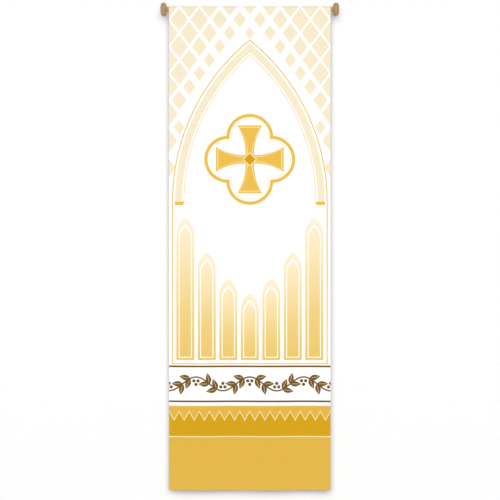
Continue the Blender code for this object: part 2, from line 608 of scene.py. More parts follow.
    def offset(self, x: np.ndarray, z: np.ndarray) -> np.ndarray:
        """How far the folds and puckers push the hanging cloth towards the back.

        Args:
            x: places across the banner.
            z: heights, one for each x.

        Returns:
            The push at each place, in metres.
        """
        total = np.zeros_like(x)
        for fold in FOLDS:
            across = (x - fold.at_hem - fold.lean * (z - self.bottom_z)) / fold.half_width
            down = np.clip((fold.begins - z) / (fold.begins - fold.full), 0, 1)
            bell = np.where(np.abs(across) < 1, 0.5 + 0.5 * np.cos(math.pi * across), 0)
            total += fold.depth * bell * down * down * (3 - 2 * down)
        return total + self._puckers(x, z)

    def _puckers(self, x: np.ndarray, z: np.ndarray) -> np.ndarray:
        """The small waves that the seams draw into the cloth beside them.

        Args:
            x: places across the banner.
            z: heights, one for each x.

        Returns:
            The push towards the back at each place.
        """
        upright = sum(share * np.sin(turns * z + phase) for turns, phase, share in self.upright_waves)
        level = sum(share * np.sin(turns * x + phase) for turns, phase, share in self.level_waves)
        to_side = np.abs(self.width / 2 - self.side_seam_inset - np.abs(x))
        to_seam = np.minimum(np.abs(z - self.seam_z), np.abs(z - self.hem_seam_z))
        beside_side = np.exp(-((to_side / self.pucker_reach) ** 2))
        beside_seam = np.exp(-((to_seam / self.pucker_reach) ** 2))
        clear_of_rod = np.clip((self.seam_z + self.pucker_fade - z) / self.pucker_fade, 0, 1)
        side_phase = np.where(x > 0, 1.0, -0.8)
        return self.pucker_height * clear_of_rod * (
            upright * side_phase * beside_side + level * beside_seam * (1 - beside_side)
        )

    def middle(self, x: np.ndarray, s: np.ndarray) -> np.ndarray:
        """Where the cloth's middle hangs.

        Args:
            x: places across the strip.
            s: places along it, one for each x.

        Returns:
            One point in space for each.
        """
        y = np.interp(s, self.along, self.path[:, 0])
        z = np.interp(s, self.along, self.path[:, 1])
        return np.stack([x, y + self.offset(x, z), z], axis=1)

    def place(self, x: np.ndarray, s: np.ndarray, out: np.ndarray) -> np.ndarray:
        """Where a point near the flat cloth ends up once the cloth hangs.

        Args:
            x: places across the strip.
            s: places along it.
            out: how far each lies in front of the cloth's middle, on the printed side.

        Returns:
            One point in space for each.
        """
        step = 0.2 * MILLIMETRE
        across = self.middle(x + step, s) - self.middle(x - step, s)
        onward = self.middle(x, s + step) - self.middle(x, s - step)
        outward = np.cross(across, onward)
        outward /= np.linalg.norm(outward, axis=1)[:, None]
        return self.middle(x, s) + outward * out[:, None]

    def fold_along(self) -> float:
        """Where along the strip the bottom edge is."""
        return float(self.along[int(np.argmin(self.path[:, 1]))])

    def front_along(self, z: float) -> float:
        """Where along the strip the front of the panel is at height z."""
        return self.fold_along() + (z - self.path[:, 1].min())


def inside(points: np.ndarray, outline: np.ndarray) -> np.ndarray:
    """Which points lie inside an outline.

    Args:
        points: places (x, h), one a row.
        outline: the outline's corners in order.

    Returns:
        True or False for each point.
    """
    within = np.zeros(len(points), bool)
    low, high = outline.min(0), outline.max(0)
    near = np.nonzero(((points >= low) & (points <= high)).all(1))[0]
    x, h = points[near].T
    odd = np.zeros(len(near), bool)
    for (x1, h1), (x2, h2) in zip(outline, np.roll(outline, -1, axis=0)):
        if h1 == h2:
            continue
        crosses = (h1 > h) != (h2 > h)
        odd ^= crosses & (x < (x2 - x1) * (h - h1) / (h2 - h1) + x1)
    within[near] = odd
    return within


@dataclass
class Patch:
    """One printed shape: its outline on the flat cloth and its ink, or a fade."""

    outline: np.ndarray
    ink: Ink | None = None
    fade: Point | None = None

    def corners(self, longest: float) -> np.ndarray:
        """The outline with its long sides cut up, so that the cloth can bend along them.

        Args:
            longest: the greatest length of a part.

        Returns:
            Places (x, h) in order.
        """
        ends = np.roll(self.outline, -1, axis=0)
        parts = np.ceil(np.hypot(*(ends - self.outline).T) / longest).astype(int).clip(1)
        sides = [
            start + np.outer(np.arange(count) / count, end - start)
            for start, end, count in zip(self.outline, ends, parts)
        ]
        return np.concatenate(sides)

    def colour(self, points: np.ndarray) -> np.ndarray:
        """The shape's colour.

        Args:
            points: places (x, h) in the shape.

        Returns:
            Linear red, green and blue for each place.
        """
        if self.ink is not None:
            return np.tile(linear(self.ink.value), (len(points), 1))
        low, high = self.fade
        t = np.clip((points[:, 1] - low) / (high - low), 0, 1)
        places = [place for place, _ in FADE_STOPS]
        stops = np.array([linear(shade) for _, shade in FADE_STOPS])
        return np.stack([np.interp(t, places, stops[:, c]) for c in range(3)], axis=1)


@dataclass
class ChurchPattern:
    """The printed pattern: traditional church ornament, drawn on the flat cloth.

    From the top: lozenges outside a pointed arch with a cream moulding, a
    flared cross in a quatrefoil inside it, lancets that fade from gold to
    cream, a leafy garland, a row of dog-teeth and a plain gold foot. h is the
    height above the bottom edge. A later shape is printed over an earlier one.
    """

    width: float = BANNER_WIDTH
    height: float = BANNER_DROP
    past_edge: float = 10 * MILLIMETRE
    line: float = 4 * MILLIMETRE
    foot: float = 0.205
    gold_top: float = 0.318
    tooth_width: float = 1.5 * INCH
    tooth_heights: Point = (0.262, 0.296)
    tooth_edge: float = 5.6 * MILLIMETRE
    garland_middle: float = 0.402
    garland_half_height: float = 0.066
    garland_border: float = 6.8 * MILLIMETRE
    garland_wave: float = 8 * INCH
    garland_swing: float = 0.026
    garland_bends: int = 4
    stem_breadth: float = 5.8 * MILLIMETRE
    leaf_shares: Point = (0.22, 0.50)
    leaf_spread: float = math.radians(40)
    leaf_length: float = 0.042
    leaf_breadth: float = 0.0205
    vein_breadth: float = 1.2 * MILLIMETRE
    vein_shares: tuple[float, ...] = (0.2, 0.5, 0.8)
    berry: float = 0.0063
    berry_below_stem: float = 0.0145
    berry_spread: float = 0.0078
    berry_drop: float = 0.0134
    lancet_foot: float = 0.492
    lancet_width: float = 0.068
    lancet_pitch: float = 0.0812
    lancet_tops: tuple[float, ...] = (0.745, 0.80, 0.90, 1.03)
    lancet_steepness: float = 1.9
    lancet_lines: tuple[Point, ...] = ((0.0, 0.0), (0.009, 0.026), (0.0125, 0.036))
    arch_spring: float = 1.09
    arch_point: float = 1.70
    arch_half_width: float = 0.292
    moulding: Point = (0.010, 0.036)
    fillet: Point = (0.006, 0.008)
    capital: float = 0.013
    capital_reach: float = 0.010
    capital_slope: float = 0.007
    sill_gap: float = 0.014
    lozenge: Point = (0.0762, 0.1016)
    lozenge_shares: Point = (0.44, 0.87)
    lozenge_growth: float = 0.26
    lozenge_gap: float = 0.005
    lozenge_least: float = 0.018
    medallion_middle: float = 1.25
    lobe_offset: float = 0.083
    lobe_radii: tuple[float, ...] = (0.089, 0.0765, 0.0715, 0.0685)
    cross_neck: float = 0.016
    cross_flare: float = 0.047
    cross_reach: float = 0.128
    cross_curve: float = 2.2
    cross_insets: tuple[float, ...] = (0.0, 0.0060, 0.0088)
    boss_sizes: Point = (0.027, 0.0225)
    patches: list[Patch] = field(default_factory=list)

    def __post_init__(self) -> None:
        """Draw every shape, the lowest in the print first."""
        self._lozenges()
        self._arch_lines()
        self._medallion()
        self._lancets()
        self._garland()
        self._foot()

    def _add(self, points: Sequence[Point], ink: Ink) -> None:
        """Add a shape in one ink."""
        self.patches.append(Patch(np.array(points, float), ink))

    def _diamond(self, x: float, h: float, half_width: float, half_height: float, ink: Ink) -> None:
        """Add an upright lozenge."""
        ways = ((0, -1), (1, 0), (0, 1), (-1, 0))
        self._add([(x + half_width * a, h + half_height * b) for a, b in ways], ink)

    def _band(self, low: float, high: float, ink: Ink) -> None:
        """Add a straight band right across the cloth."""
        side = self.width / 2 + self.past_edge
        self._add([(-side, low), (side, low), (side, high), (-side, high)], ink)

    def _ribbon(self, path: np.ndarray, breadth: float, ink: Ink) -> None:
        """Add a line of even breadth.

        Args:
            path: places (x, h) that it runs through.
            breadth: its width.
            ink: its colour.
        """
        way = np.gradient(path, axis=0)
        way /= np.linalg.norm(way, axis=1)[:, None]
        side = np.stack([-way[:, 1], way[:, 0]], axis=1) * breadth / 2
        self._add(np.concatenate([path + side, (path - side)[::-1]]), ink)

    @staticmethod
    def _half_arch(half: float, spring: float, rise: float, inset: float, steps: int) -> np.ndarray:
        """The left half of a pointed arch.

        Args:
            half: half the arch's span.
            spring: the height at which it springs.
            rise: how far its point is above that.
            inset: how far inside that arch it is drawn.
            steps: how many parts it has.

        Returns:
            Places (x, h) from its springing to its point.
        """
        centre = (rise**2 - half**2) / (2 * half)
        radius = centre + half - inset
        angles = np.linspace(0, math.acos(centre / radius), steps + 1)
        return np.stack([centre - radius * np.cos(angles), spring + radius * np.sin(angles)], axis=1)

    def _arch(self, inset: float) -> np.ndarray:
        """The left half of the great arch, an inset inside its own line."""
        rise = self.arch_point - self.arch_spring
        return self._half_arch(self.arch_half_width, self.arch_spring, rise, inset, 36)

    def _lozenges(self) -> None:
        """Lozenges in staggered rows outside the arch, smaller the nearer they are to it."""
        across, up = self.lozenge
        limit = self._arch(-self.lozenge_gap)
        small, full = self.lozenge_shares
        # Rows are counted from the top edge, and columns from the middle.
        for row in range(-12, 3):
            h = self.height + row * up / 2
            for column in range(-5, 6):
                x = (column + (row % 2) / 2) * across
                if abs(x) > self.width / 2 + across / 2:
                    continue
                edge = np.interp(-abs(x), limit[:, 0], limit[:, 1], left=self.arch_spring)
                above = h - edge
                if above < self.lozenge_least:
                    continue
                size = small + (full - small) * min(above / self.lozenge_growth, 1)
                self._diamond(x, h, size * across / 2, size * up / 2, Ink.CREAM)

    def _arch_field(self, inset: float, low: float, ink: Ink) -> None:
        """Fill the inside of the arch.

        Args:
            inset: how far inside the arch's line the shape's edge is.
            low: the height of its foot.
            ink: its colour.
        """
        left = self._arch(inset)
        right = left[::-1][1:] * (-1, 1)
        foot = self.arch_half_width - inset
        self._add([(-foot, low), *left, *right, (foot, low)], ink)

    def _arch_lines(self) -> None:
        """A gold frame round the lancets and the arch, and a cream moulding on two capitals."""
        half_line = self.line / 2
        sill = self.lancet_foot - self.sill_gap
        near, far = self.moulding
        begins, ends = self.fillet
        for inset, low, ink in (
            (-half_line, sill - half_line, Ink.GOLD),
            (half_line, sill + half_line, Ink.GROUND),
            (near, self.arch_spring, Ink.CREAM),
            (far, self.arch_spring, Ink.GROUND),
            (far + begins, self.arch_spring, Ink.GOLD),
            (far + ends, self.arch_spring, Ink.GROUND),
        ):
            self._arch_field(inset, low, ink)
        outer = self.arch_half_width - near + half_line
        inner = self.arch_half_width - far - self.capital_reach
        top, foot = self.arch_spring, self.arch_spring - self.capital
        capital = [(outer, top), (inner, top), (inner + self.capital_slope, foot), (outer, foot)]
        for side in (-1, 1):
            self._add([(side * x, h) for x, h in capital], Ink.GOLD)

    def _four_ways(self, arm: np.ndarray) -> np.ndarray:
        """Turn the outline of an arm four ways about the medallion's middle.

        Args:
            arm: places (out, across) along the arm that points towards +X.

        Returns:
            The whole outline's corners (x, h) in order.
        """
        arms = []
        for cosine, sine in ((1, 0), (0, 1), (-1, 0), (0, -1)):
            arms.append(arm @ np.array([[cosine, sine], [-sine, cosine]]))
        return np.concatenate(arms) + (0, self.medallion_middle)

    def _lobe(self, radius: float) -> np.ndarray:
        """One lobe of the quatrefoil, from where it meets the last to where it meets the next.

        Args:
            radius: the lobe's radius.

        Returns:
            Places (out, across) in order.
        """
        offset = self.lobe_offset
        meet = (offset + math.sqrt(2 * radius**2 - offset**2)) / 2
        angles = math.atan2(meet, meet - offset) * np.linspace(-1, 1, 25)
        return np.stack([offset + radius * np.cos(angles), radius * np.sin(angles)], axis=1)

    def _flared_arm(self, inset: float) -> np.ndarray:
        """One arm of the cross, which widens in a curve towards its end.

        Args:
            inset: how far inside the arm's own line it is drawn.

        Returns:
            Places (out, across) in order.
        """
        neck, flare, reach = self.cross_neck - inset, self.cross_flare - inset, self.cross_reach - inset
        t = np.linspace(0, 1, 13)
        half = np.stack([neck + (reach - neck) * t, neck + (flare - neck) * t**self.cross_curve], axis=1)
        return np.concatenate([half * (1, -1), half[::-1]])

    def _medallion(self) -> None:
        """A gold quatrefoil with a flared cross in it, and a lozenge at the cross's middle."""
        lines = (Ink.GOLD, Ink.GROUND, Ink.CREAM, Ink.GROUND)
        for radius, ink in zip(self.lobe_radii, lines):
            self._add(self._four_ways(self._lobe(radius)), ink)
        for inset, ink in zip(self.cross_insets, (Ink.GOLD, Ink.PALE_LINE, Ink.GOLD)):
            self._add(self._four_ways(self._flared_arm(inset)), ink)
        for size, ink in zip(self.boss_sizes, (Ink.PALE_LINE, Ink.DEEP_GOLD)):
            self._diamond(0, self.medallion_middle, size, size, ink)

    def _lancet(self, x: float, half: float, low: float, high: float) -> np.ndarray:
        """The outline of one narrow pointed opening.

        Args:
            x: its middle.
            half: half its width.
            low: its foot.
            high: its point.

        Returns:
            The outline's corners in order.
        """
        rise = self.lancet_steepness * half
        left = self._half_arch(half, high - rise, rise, 0.0, 8) + (x, 0)
        right = left[::-1][1:] * (-1, 1) + (2 * x, 0)
        return np.concatenate([[(x - half, low)], left, right, [(x + half, low)]])

    def _lancets(self) -> None:
        """Seven lancets, taller towards the sides, that fade as they rise."""
        for place in range(-3, 4):
            x, high = place * self.lancet_pitch, self.lancet_tops[abs(place)]
            for (inset, below), ink in zip(self.lancet_lines, (None, Ink.GROUND, None)):
                half, low = self.lancet_width / 2 - inset, self.lancet_foot + inset
                outline = self._lancet(x, half, low, high - below)
                self.patches.append(Patch(outline, ink, (self.lancet_foot, high)))

    def _leaf(self, base: Point, turn: float) -> None:
        """A pointed leaf with a fine vein.

        Args:
            base: where its stalk end is.
            turn: the way it points, from +X.
        """
        way = np.array([math.cos(turn), math.sin(turn)])
        t = np.linspace(0, 1, 13)
        middle = np.array(base) + np.outer(t * self.leaf_length, way)
        half = self.leaf_breadth / 2 * np.sin(math.pi * t**0.8)
        edge = np.outer(half, (-way[1], way[0]))
        self._add(np.concatenate([middle - edge, (middle + edge)[::-1][1:-1]]), Ink.BROWN)
        vein = np.array(base) + np.outer(self.leaf_length * np.array(self.vein_shares), way)
        self._ribbon(vein, self.vein_breadth, Ink.PALE_LINE)

    def _stem(self, x: float | np.ndarray) -> float | np.ndarray:
        """The height of the garland's stem at x."""
        turn = math.tau * x / self.garland_wave
        return self.garland_middle + self.garland_swing * np.cos(turn)

    def _garland(self) -> None:
        """A waving stem between two lines, with leaves in pairs and berries in its bends."""
        half_border = self.garland_border / 2
        for way in (-1, 1):
            h = self.garland_middle + way * self.garland_half_height
            self._band(h - half_border, h + half_border, Ink.BROWN)
        side = self.width / 2 + self.past_edge
        xs = np.linspace(-side, side, 121)
        self._ribbon(np.stack([xs, self._stem(xs)], axis=1), self.stem_breadth, Ink.BROWN)
        half_wave = self.garland_wave / 2
        for bend in range(self.garland_bends):
            for way in (-1, 1):
                self._berries(way * bend * half_wave, bend % 2 == 0)
                for share in self.leaf_shares:
                    self._leaf_pair(way * (bend + share) * half_wave, way)

    def _leaf_pair(self, x: float, way: int) -> None:
        """Two leaves that grow from one place on the stem, one on each side of it.

        Args:
            x: the place.
            way: 1 if they grow towards +X and -1 if towards -X.
        """
        step = 1 * MILLIMETRE
        slope = (self._stem(x + step) - self._stem(x - step)) / (2 * step)
        for side in (-1, 1):
            turn = math.atan2(way * slope, way) + side * self.leaf_spread
            self._leaf((x, float(self._stem(x))), turn)

    def _berries(self, x: float, above: bool) -> None:
        """Three berries inside a bend of the stem.

        Args:
            x: the middle of the bend.
            above: whether the stem passes above them.
        """
        down = -1 if above else 1
        top = float(self._stem(x)) + down * self.berry_below_stem
        angles = np.linspace(0, math.tau, 17)[:-1]
        circle = self.berry * np.stack([np.cos(angles), np.sin(angles)], axis=1)
        for across, drop in ((-1, 0), (1, 0), (0, 1)):
            middle = (x + across * self.berry_spread, top + down * drop * self.berry_drop)
            self._add(circle + middle, Ink.BROWN)

    def _foot(self) -> None:
        """The plain gold foot under a deep gold row of dog-teeth."""
        below = -0.2
        self._band(below, self.gold_top + self.line, Ink.PALE_LINE)
        self._band(below, self.gold_top, Ink.TAN)
        side = self.width / 2 + self.tooth_width / 2
        steps = np.arange(2 * round(2 * side / self.tooth_width) + 1)
        teeth = np.stack(
            [steps * self.tooth_width / 2 - side, np.array(self.tooth_heights)[steps % 2]], axis=1
        )
        for raise_by, ink in ((self.tooth_edge, Ink.PALE_LINE), (0.0, Ink.DEEP_GOLD)):
            self._add([*(teeth + (0, raise_by)), (side, self.foot), (-side, self.foot)], ink)
        self._band(self.foot - self.line, self.foot, Ink.PALE_LINE)

    def colour_at(self, points: np.ndarray, inner: np.ndarray | None = None) -> np.ndarray:
        """The print's linear colour at each place.

        Args:
            points: the places (x, h) to colour.
            inner: the places that decide which shape each point is in, where
                these differ, as for the corners of a face.

        Returns:
            Red, green and blue for each point.
        """
        inner = points if inner is None else inner
        colours = np.tile(linear(Ink.GROUND.value), (len(points), 1))
        for patch in self.patches:
            there = inside(inner, patch.outline)
            colours[there] = patch.colour(points[there])
        return colours


@dataclass(frozen=True)
class SeamLine:
    """A straight row of stitches on the flat strip, from start (x, s) to end.

    out is how far it lies in front of the cloth's middle, on the printed side.
    """

    name: str
    start: Point
    end: Point
    out: float


@dataclass
class BannerCloth:
    """The printed cloth with its hems and pole pocket, and the threads that sew it."""

    hang: Hang
    pattern: ChurchPattern
    row_spacing: float = 7 * MILLIMETRE
    column_spacing: float = 9 * MILLIMETRE
    merge_distance: float = 0.02 * MILLIMETRE
    side_hem: float = 12 * MILLIMETRE
    side_hem_step: float = 0.35 * MILLIMETRE
    seam_shoulder: float = 1.1 * MILLIMETRE
    seam_dip: float = 0.10 * MILLIMETRE
    stitch_pitch: float = 3.0 * MILLIMETRE
    stitch_length: float = 2.5 * MILLIMETRE
    thread: float = 0.42 * MILLIMETRE
    undyed_thread: float = 0.86
    undyed_share: float = 0.25

    def build(self) -> list[Piece]:
        """Build the cloth and its seams.

        Returns:
            The cloth first, then the seams.
        """
        face = PrintedPolyester().make()
        reverse = PrintedPolyester(
            name="woven_polyester_reverse", show_through=0.30, roughness=0.84, sheen=0.08
        ).make()
        cloth = self._cloth([face, reverse])
        seams = self._seams(PolyesterThread().make())
        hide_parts("banner_cloth")
        for piece in (cloth, *seams):
            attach(piece, BODY)
        return [cloth, *seams]

    def _columns(self) -> list[float]:
        """Places of the grid's columns across the strip, closer beside the side seams.

        Returns:
            Each column's x, from left to right.
        """
        half, hem, seam = self.hang.width / 2, self.side_hem, self.hang.side_seam_inset
        # They stand close together where the cloth dips or steps: at its edge, seam and side hem.
        near_edge = [0.0, 4 * MILLIMETRE, seam - self.seam_shoulder, seam, seam + self.seam_shoulder]
        near_edge += [hem, hem + 0.5 * MILLIMETRE, hem + 5 * MILLIMETRE]
        start = half - near_edge[-1]
        count = round(2 * start / self.column_spacing)
        middle = [-start + 2 * start * i / count for i in range(1, count)]
        return [near - half for near in near_edge] + middle + [half - near for near in near_edge[::-1]]

    def _rows(self) -> tuple[list[float], list[float]]:
        """Places of the grid's rows along the strip.

        Returns:
            All the rows, and those at which the path bends.
        """
        hang = self.hang
        bends = [float(s) for s in hang.along]
        fixed = list(bends)
        for seam_z in (hang.seam_z, hang.hem_seam_z):
            for side in (-1, 0, 1):
                fixed.append(hang.front_along(seam_z) + side * self.seam_shoulder)
        fixed.sort()
        rows = []
        for low, high in zip(fixed, fixed[1:]):
            parts = max(1, math.ceil((high - low) / self.row_spacing))
            rows += [low + (high - low) * part / parts for part in range(parts)]
        return [*rows, fixed[-1]], bends

    def _flat_triangles(self) -> tuple[np.ndarray, np.ndarray]:
        """Cut the flat strip into triangles along every printed outline.

        Returns:
            The points (x, s) and the triangles' corners.
        """
        half, fold, hem = self.hang.width / 2, self.hang.fold_along(), self.side_hem
        columns = self._columns()
        rows, bends = self._rows()
        points = [Vector((x, s)) for s in rows for x in columns]
        edges = []
        wide = len(columns)
        for number, s in enumerate(rows):
            if s in bends:
                edges += [(number * wide + i, number * wide + i + 1) for i in range(wide - 1)]
        for place in (0, columns.index(hem - half), columns.index(half - hem), wide - 1):
            edges += [(n * wide + place, (n + 1) * wide + place) for n in range(len(rows) - 1)]
        for patch in self.pattern.patches:
            first = len(points)
            outline = patch.corners(self.column_spacing)
            points += [Vector((x, h + fold)) for x, h in outline]
            count = len(outline)
            edges += [(first + i, first + (i + 1) % count) for i in range(count)]
        found = delaunay_2d_cdt(points, edges, [], 0, self.merge_distance, False)
        places = np.array([tuple(p) for p in found[0]])
        corners = np.array([tuple(face) for face in found[2]])
        middle = places[corners].mean(1)
        kept = (np.abs(middle[:, 0]) < half) & (middle[:, 1] > 0) & (middle[:, 1] < self.hang.length)
        used, corners = np.unique(corners[kept], return_inverse=True)
        places = places[used]
        places[:, 0] = places[:, 0].clip(-half, half)
        places[:, 1] = places[:, 1].clip(0, self.hang.length)
        return places, corners.reshape(-1, 3)

    def _offsets(self, places: np.ndarray, middle: np.ndarray) -> tuple[np.ndarray, np.ndarray]:
        """How far the printed face and the reverse lie from the cloth's middle.

        Args:
            places: the flat places (x, s).
            middle: where each one's middle hangs.

        Returns:
            The printed face's distance and the reverse's.
        """
        hang = self.hang
        x, s, z = places[:, 0], places[:, 1], middle[:, 2]
        to_side_seam = np.abs(hang.width / 2 - hang.side_seam_inset - np.abs(x))
        to_seam = np.minimum(np.abs(z - hang.seam_z), np.abs(z - hang.hem_seam_z))
        near_seam = np.minimum(to_side_seam, to_seam)
        face = hang.thickness / 2 - self.seam_dip * np.exp(-((near_seam / MILLIMETRE) ** 2))
        on_panel = (s > hang.front_along(hang.bottom_z)) & (s < hang.front_along(0.0))
        clear, ramp = 2 * MILLIMETRE, 4 * MILLIMETRE
        above_hem = z - hang.hem_top_z - clear
        below_flap = hang.seam_z - hang.flap_length - clear - z
        room = np.clip(np.minimum(above_hem, below_flap) / ramp, 0, 1)
        in_side_hem = np.abs(x) > hang.width / 2 - self.side_hem - 0.1 * MILLIMETRE
        return face, hang.thickness / 2 + self.side_hem_step * in_side_hem * on_panel * room

    def _cloth(self, finishes: list[Material]) -> Piece:
        """The cloth itself, printed face out.

        Args:
            finishes: the printed face's material and the reverse's.

        Returns:
            The cloth, a closed sheet.
        """
        places, corners = self._flat_triangles()
        middle = self.hang.middle(places[:, 0], places[:, 1])
        face_way = self._normals(middle, corners)
        to_face, to_reverse = self._offsets(places, middle)
        front = middle + face_way * to_face[:, None]
        behind = middle - face_way * to_reverse[:, None]
        count = len(places)
        rim = self._rim(corners)
        rim_faces = np.stack([rim[:, 1], rim[:, 0], rim[:, 0] + count, rim[:, 1] + count], axis=1)
        faces = corners.tolist() + (corners[:, ::-1] + count).tolist() + rim_faces.tolist()
        mesh = bpy.data.meshes.new(CLOTH)
        mesh.from_pydata(np.concatenate([front, behind]).tolist(), [], faces)
        for finish in finishes:
            mesh.materials.append(finish)
        slots = np.zeros(len(faces), np.int32)
        slots[len(corners) : 2 * len(corners)] = 1
        mesh.polygons.foreach_set("material_index", slots)
        self._dress(mesh, places, corners, rim)
        mesh.shade_smooth()
        mesh.set_sharp_from_angle(angle=math.radians(50))
        mesh.validate()
        cloth = bpy.data.objects.new(CLOTH, mesh)
        bpy.context.scene.collection.objects.link(cloth)
        return cloth

    @staticmethod
    def _normals(points: np.ndarray, corners: np.ndarray) -> np.ndarray:
        """The way that the printed face looks at each point.

        Args:
            points: the points in space.
            corners: the triangles' corners.

        Returns:
            One unit vector for each point.
        """
        a, b, c = (points[corners[:, i]] for i in range(3))
        of_faces = np.cross(b - a, c - a)
        total = np.zeros_like(points)
        for i in range(3):
            np.add.at(total, corners[:, i], of_faces)
        return total / np.linalg.norm(total, axis=1)[:, None]

    @staticmethod
    def _rim(corners: np.ndarray) -> np.ndarray:
        """The edges that only one triangle has.

        Args:
            corners: the triangles' corners.

        Returns:
            The two ends of each edge, in its triangle's own direction.
        """
        edges = np.concatenate([corners[:, [0, 1]], corners[:, [1, 2]], corners[:, [2, 0]]])
        known = {tuple(edge) for edge in edges.tolist()}
        return np.array([edge for edge in edges.tolist() if (edge[1], edge[0]) not in known])

    def _dress(
        self, mesh: bpy.types.Mesh, places: np.ndarray, corners: np.ndarray, rim: np.ndarray
    ) -> None:
        """Give the mesh its flat map and its printed colours, corner by corner.

        Args:
            mesh: the cloth's mesh.
            places: the flat places (x, s).
            corners: the triangles of the printed face.
            rim: the edges along the cut edge of the cloth.
        """
        heights = places - (0, self.hang.fold_along())
        inner = heights[corners].mean(1).repeat(3, axis=0)
        of_face = self.pattern.colour_at(heights[corners].reshape(-1, 2), inner).reshape(-1, 3, 3)
        rim_corners = rim[:, [1, 0, 0, 1]]
        rim_ends = heights[rim_corners]
        # The cut edge takes the colour just inside it.
        pulled_in = rim_ends + (heights.mean(0) - rim_ends) * 1e-4
        of_rim = self.pattern.colour_at(rim_ends.reshape(-1, 2), pulled_in.reshape(-1, 2))
        colours = [of_face.reshape(-1, 3), of_face[:, ::-1].reshape(-1, 3), of_rim]
        self._set_print(mesh, np.concatenate(colours), "CORNER")
        flat = [places[which].reshape(-1, 2) for which in (corners, corners[:, ::-1], rim_corners)]
        flat_map = mesh.uv_layers.new(name=FLAT_MAP)
        flat_map.uv.foreach_set("vector", np.concatenate(flat).astype(np.float32).ravel())

    @staticmethod
    def _set_print(mesh: bpy.types.Mesh, colours: np.ndarray, domain: str) -> None:
        """Give a mesh its printed colours.

        Args:
            mesh: the mesh.
            colours: linear red, green and blue, one row for each point or corner.
            domain: POINT or CORNER.
        """
        printed = mesh.color_attributes.new(PRINT, "FLOAT_COLOR", domain)
        opaque = np.concatenate([colours, np.ones((len(colours), 1))], axis=1)
        printed.data.foreach_set("color", opaque.astype(np.float32).ravel())

    def _seams(self, finish: Material) -> list[Piece]:
        """Every row of stitches, on each side of the cloth where it shows.

        Args:
            finish: the thread's material.

        Returns:
            The seams.
        """
        hang = self.hang
        edge, end = 2 * MILLIMETRE, hang.length - 1 * MILLIMETRE
        left, right = edge - hang.width / 2, hang.width / 2 - edge
        side = hang.width / 2 - hang.side_seam_inset
        low = hang.front_along(hang.hem_top_z + 3 * MILLIMETRE)
        high = hang.front_along(hang.seam_z - hang.flap_length - 3 * MILLIMETRE)
        in_front = hang.thickness / 2 - self.seam_dip
        behind = -hang.thickness / 2 - self.side_hem_step
        across = {
            "pocket_seam_front": hang.front_along(hang.seam_z),
            "pocket_seam_back": hang.length - hang.flap_length,
            "bottom_hem_seam_front": hang.front_along(hang.hem_seam_z),
            "bottom_hem_seam_back": hang.hem_depth - hang.hem_seam_height,
        }
        lines = [SeamLine(name, (left, s), (right, s), in_front) for name, s in across.items()]
        for name, x in (("left", -side), ("right", side)):
            lines.append(SeamLine(f"{name}_side_seam_front", (x, edge), (x, end), in_front))
            lines.append(SeamLine(f"{name}_side_seam_back", (x, low), (x, high), behind))
        return [self._seam(line, finish) for line in lines]

    def _seam(self, line: SeamLine, finish: Material) -> Piece:
        """One row of stitches on one side of the cloth.

        Args:
            line: where it runs.
            finish: the thread's material.

        Returns:
            The seam, one mesh.
        """
        (x, s), (end_x, end_s) = line.start, line.end
        half, round_half, pitch = self.stitch_length / 2, self.thread / 2, self.stitch_pitch
        if end_x > x:
            length, step, scale = end_x - x, (pitch, 0, 0), (half, round_half, round_half)
        else:
            length, step, scale = end_s - s, (0, 0, pitch), (round_half, round_half, half)
        select_none()
        bpy.ops.mesh.primitive_ico_sphere_add(
            subdivisions=1,
            radius=1,
            location=(x + step[0] / 2, -line.out, s + step[2] / 2),
            scale=scale,
        )
        seam = take_piece(line.name)
        row = seam.modifiers.new("along_the_seam", "ARRAY")
        row.count = int(length / pitch)
        row.use_relative_offset = False
        row.use_constant_offset = True
        row.constant_offset_displace = step
        stitch_points = len(seam.data.vertices)
        bpy.ops.object.modifier_apply(modifier=row.name)
        self._lay_on_cloth(seam, stitch_points)
        seam.data.materials.append(finish)
        seam.data.shade_smooth()
        return seam

    def _lay_on_cloth(self, seam: Piece, stitch_points: int) -> None:
        """Carry a seam from the flat cloth to the hung one, its thread dyed as the print is.

        Args:
            seam: the row of stitches, laid out at (x, -out, s).
            stitch_points: how many points each stitch has.
        """
        mesh = seam.data
        points = np.empty(len(mesh.vertices) * 3, np.float32)
        mesh.vertices.foreach_get("co", points)
        points = points.reshape(-1, 3).astype(float)
        centres = points.reshape(-1, stitch_points, 3).mean(1).repeat(stitch_points, axis=0)
        hung = self.hang.place(points[:, 0], points[:, 2], -points[:, 1])
        mesh.vertices.foreach_set("co", hung.astype(np.float32).ravel())
        colours = self.pattern.colour_at(centres[:, [0, 2]] - (0, self.hang.fold_along()))
        colours += (self.undyed_thread - colours) * self.undyed_share
        self._set_print(mesh, colours, "POINT")
        mesh.update()


